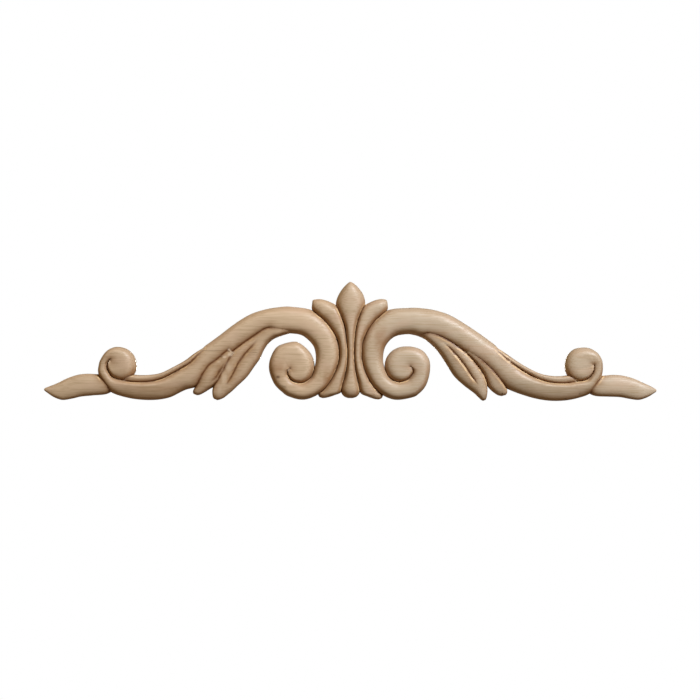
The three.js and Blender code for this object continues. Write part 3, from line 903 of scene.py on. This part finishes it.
def glazed_wood():
    """Carved hardwood, sanded, glazed and oiled: satin, with glaze and painted shade in the creases, painted
    shade on the flanks, and painted highlights on the lips and the rubbed arrises.
    """
    colours = bpy.context.scene.applique_colours
    material, tree = new_material("glazed_oiled_hardwood")
    streaks = stretched_noise(tree, 0.024, 0.0009, 3.0)
    patches = stretched_noise(tree, 0.022, 0.009, 2.0)
    wisps = stretched_noise(tree, 0.012, 0.0032, 3.0)
    spots = add_node(tree, "ShaderNodeTexCoord").outputs["Object"]
    right = add_node(tree, "ShaderNodeSeparateXYZ", {"Vector": spots}).outputs["X"]
    wood = mixed(tree, ramp(tree, right, -0.04, 0.05), tuple(colours.wood), tuple(colours.pale_wood))
    wood = mixed(tree, ramp(tree, streaks, 0.42, 0.72, 0.0, 0.65), wood, tuple(colours.grain))
    wood = mixed(tree, ramp(tree, patches, 0.45, 0.7, 0.0, 0.35), wood, tuple(colours.blush))
    # The stain beside the creases and in the patches, partly painted shade
    stained_and_shaded = times(tree, named_value(tree, "stain_and_painted_shade"), ramp(tree, wisps, 0.25, 0.65, 0.6, 1.1))
    wood = mixed(tree, stained_and_shaded, wood, tuple(colours.stain_and_painted_shade))
    # The painted shade of the flanks, in the stain colour
    wood = mixed(tree, times(tree, named_value(tree, "painted_flank_shade"), FLANK_SHADE_SHARE), wood, tuple(colours.stain_and_painted_shade))
    # The painted highlight on the lit lips of the creases, and the glaze in the creases, which is partly
    # painted shade
    painted_lip_highlight = times(tree, named_value(tree, "painted_lip_highlight"), ramp(tree, wisps, 0.36, 0.56, 0.0, 0.8))
    glaze_and_painted_shade = times(tree, named_value(tree, "crease"), ramp(tree, wisps, 0.2, 0.6, 0.65, 1.0))
    wood = mixed(tree, glaze_and_painted_shade, wood, tuple(colours.glaze_and_painted_shade))
    wood = mixed(tree, painted_lip_highlight, wood, tuple(colours.painted_lip_highlight))
    # Painted highlight along the sharp edges, which also stands for glaze rubbed off them
    rubbed_and_painted_highlight = times(tree, named_value(tree, "arris"), ramp(tree, wisps, 0.3, 0.65, 0.15, 0.8))
    wood = mixed(tree, rubbed_and_painted_highlight, wood, tuple(colours.rubbed_and_painted_highlight))
    # Pale chips, and the painted highlight on the left leaf
    wood = mixed(tree, named_value(tree, "chip"), wood, tuple(colours.rubbed_and_painted_highlight))
    wood = mixed(tree, named_value(tree, "scar"), wood, tuple(colours.scar))
    dull = ramp(tree, streaks, 0.35, 0.7, 0.42, 0.52)
    bump = add_node(
        tree, "ShaderNodeBump", {"Height": streaks, "Strength": 0.25, "Distance": 0.0002}
    ).outputs["Normal"]
    shader = add_node(
        tree,
        "ShaderNodeBsdfPrincipled",
        {"Base Color": wood, "Roughness": dull, "Normal": bump, "Specular IOR Level": 0.3},
    ).outputs["BSDF"]
    add_node(tree, "ShaderNodeOutputMaterial", {"Surface": shader})
    return material


def sawn_wood():
    """Bare bandsawn wood of the back: matt, paler, with fine cross marks of the blade."""
    colours = bpy.context.scene.applique_colours
    material, tree = new_material("bare_sawn_hardwood")
    streaks = stretched_noise(tree, 0.035, 0.0013, 5.0)
    blade = stretched_noise(tree, 0.0011, 0.03, 2.0)
    wood = mixed(tree, ramp(tree, streaks, 0.4, 0.72), tuple(colours.rubbed_and_painted_highlight), tuple(colours.wood))
    wood = mixed(tree, ramp(tree, blade, 0.5, 0.75, 0.0, 0.35), wood, tuple(colours.grain))
    bump = add_node(
        tree, "ShaderNodeBump", {"Height": blade, "Strength": 0.5, "Distance": 0.0003}
    ).outputs["Normal"]
    shader = add_node(
        tree, "ShaderNodeBsdfPrincipled", {"Base Color": wood, "Roughness": 0.8, "Normal": bump}
    ).outputs["BSDF"]
    add_node(tree, "ShaderNodeOutputMaterial", {"Surface": shader})
    return material


class APPLIQUE_OT_carve(bpy.types.Operator):
    """Carves the applique from its members and finishes its wood"""

    bl_idname = "applique.carve"
    bl_label = "Carve applique"

    def execute(self, context):
        members = [*half_members(1), *half_members(-1), carve_member("stem", 0, STEM)]
        piece = join_members(members)
        piece.name = "applique"
        settle(piece)
        mesh = piece.data
        note_surface(mesh)
        mesh.materials.clear()
        mesh.materials.append(glazed_wood())
        mesh.materials.append(sawn_wood())
        facing = read(mesh.polygons, "normal", 3)
        mesh.polygons.foreach_set("material_index", (facing[:, 1] > BACK_FACING).astype(np.int32))
        bpy.ops.object.shade_smooth_by_angle(angle=math.radians(SMOOTH_BEND))
        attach(piece, "root")
        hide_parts(NODE)
        return {"FINISHED"}


# Lamps: name, place, side of the square in metres, watts, tint and spread in degrees
LAMPS = [
    ("key_lamp", (0.95, -1.2, 1.22), 0.5, 8.4, "#eef4ff", 70),
    ("back_lamp", (0, 2.6, 0), 0.4, 3.6, "#fffaf4", 70),
]

# The fill from the left and from all round, and the white that the camera sees, as linear RGBA, and the
# headings, from left at -1 to right at 1, between which the left fill gives way
LEFT_FILL = (0.6, 0.47, 0.27, 1)
ROUND_FILL = (0.15, 0.096, 0.04, 1)
WHITE = (1, 1, 1, 1)
FILL_HEADINGS = (-0.9, -0.2)

# How brightly the floor shows to the camera, and how far below the piece and how wide it lies, in metres
FLOOR_GLOW = 0.8
FLOOR_DROP = 1.7
FLOOR_SIDE = 12.0

# The camera, in millimetres, and the picture's pixels that the pattern is placed by
CAMERA_LENS = 100.0
CAMERA_SENSOR = 36.0
PICTURE_WIDTH = 700
PICTURE_MIDDLE = (350.0, 350.0)
MIDDLE_LINE_COLUMN = 350.4
LOWEST_EDGE_ROW = 400.5


def aim(thing, target):
    """Turns a lamp or camera towards a spot."""
    thing.rotation_euler = (Vector(target) - thing.location).to_track_quat("-Z", "Y").to_euler()


def add_lamp(name, spot, side, watts, tint, spread):
    """A square soft lamp that faces the piece, its light kept within a spread in degrees."""
    bpy.ops.object.light_add(type="AREA", location=spot)
    lamp = bpy.context.object
    lamp.name = name
    lamp.data.size = side
    lamp.data.energy = watts
    lamp.data.color = linear(tint)[:3]
    lamp.data.spread = math.radians(spread)
    aim(lamp, (0, 0, 0))


def white_world():
    """White surroundings: plain white to the camera, and a soft fill on the piece, stronger from its left."""
    world = bpy.data.worlds.new("white_surroundings")
    world.use_nodes = True
    tree = world.node_tree
    tree.nodes.clear()
    heading = add_node(tree, "ShaderNodeTexCoord").outputs["Generated"]
    right = add_node(tree, "ShaderNodeSeparateXYZ", {"Vector": heading}).outputs["X"]
    fill = mixed(tree, ramp(tree, right, *FILL_HEADINGS), LEFT_FILL, ROUND_FILL)
    seen = add_node(tree, "ShaderNodeLightPath").outputs["Is Camera Ray"]
    colour = mixed(tree, seen, fill, WHITE)
    glow = add_node(tree, "ShaderNodeBackground", {"Color": colour}).outputs[0]
    add_node(tree, "ShaderNodeOutputWorld", {"Surface": glow})
    bpy.context.scene.world = world


class APPLIQUE_OT_stage(bpy.types.Operator):
    """Sets up the floor, the lamps, the white surroundings and the camera"""

    bl_idname = "applique.stage"
    bl_label = "Set the stage"

    def execute(self, context):
        scene = context.scene
        sizes = scene.applique_sizes
        bpy.ops.object.select_all(action="DESELECT")
        bpy.ops.mesh.primitive_plane_add(size=FLOOR_SIDE, location=(0, 0, -FLOOR_DROP))
        floor = bpy.context.object
        floor.name = "floor"
        material, tree = new_material("pale_studio_floor")
        pale = tuple(scene.applique_colours.floor)
        seen = add_node(tree, "ShaderNodeLightPath").outputs["Is Camera Ray"]
        shader = add_node(
            tree,
            "ShaderNodeBsdfPrincipled",
            {
                "Base Color": pale,
                "Roughness": 0.8,
                "Emission Color": pale,
                "Emission Strength": times(tree, seen, FLOOR_GLOW),
            },
        ).outputs["BSDF"]
        add_node(tree, "ShaderNodeOutputMaterial", {"Surface": shader})
        floor.data.materials.append(material)
        for lamp in LAMPS:
            add_lamp(*lamp)
        white_world()
        scene.view_settings.view_transform = "Standard"

        square = sizes.length / SQUARES_LONG
        width = PICTURE_WIDTH * square
        distance = width * CAMERA_LENS / CAMERA_SENSOR
        right = (PICTURE_MIDDLE[0] - MIDDLE_LINE_COLUMN) * square
        height = (LOWEST_EDGE_ROW - PICTURE_MIDDLE[1] - MIDDLE_UP) * square
        bpy.ops.object.camera_add(
            location=(right, -distance - sizes.sawn_edge, height), rotation=(math.radians(90), 0, 0)
        )
        camera = bpy.context.object
        camera.name = "camera"
        camera.data.lens = CAMERA_LENS
        camera.data.sensor_width = CAMERA_SENSOR
        scene.camera = camera
        return {"FINISHED"}


class APPLIQUE_PT_sidebar(bpy.types.Panel):
    """Lists the sizes, the colours and the steps"""

    bl_idname = "APPLIQUE_PT_sidebar"
    bl_label = "Applique"
    bl_space_type = "VIEW_3D"
    bl_region_type = "UI"
    bl_category = "Applique"

    def draw(self, context):
        layout = self.layout
        for group in (context.scene.applique_sizes, context.scene.applique_colours):
            for name in group.bl_rna.properties.keys():
                if name not in ("rna_type", "name"):
                    layout.prop(group, name)
        for step in STEPS:
            layout.operator(step.bl_idname)


STEPS = (APPLIQUE_OT_carve, APPLIQUE_OT_stage)
CLASSES = (AppliqueSizes, AppliqueColours, *STEPS, APPLIQUE_PT_sidebar)


def register():
    """Registers the classes and the scene's sizes and colours."""
    for each in CLASSES:
        bpy.utils.register_class(each)
    bpy.types.Scene.applique_sizes = bpy.props.PointerProperty(type=AppliqueSizes)
    bpy.types.Scene.applique_colours = bpy.props.PointerProperty(type=AppliqueColours)


def unregister():
    """Takes back what register added."""
    del bpy.types.Scene.applique_colours
    del bpy.types.Scene.applique_sizes
    for each in reversed(CLASSES):
        bpy.utils.unregister_class(each)


def main():
    """Makes the piece and the stage."""
    register()
    bpy.ops.applique.carve()
    bpy.ops.applique.stage()


if __name__ == "__main__":
    main()
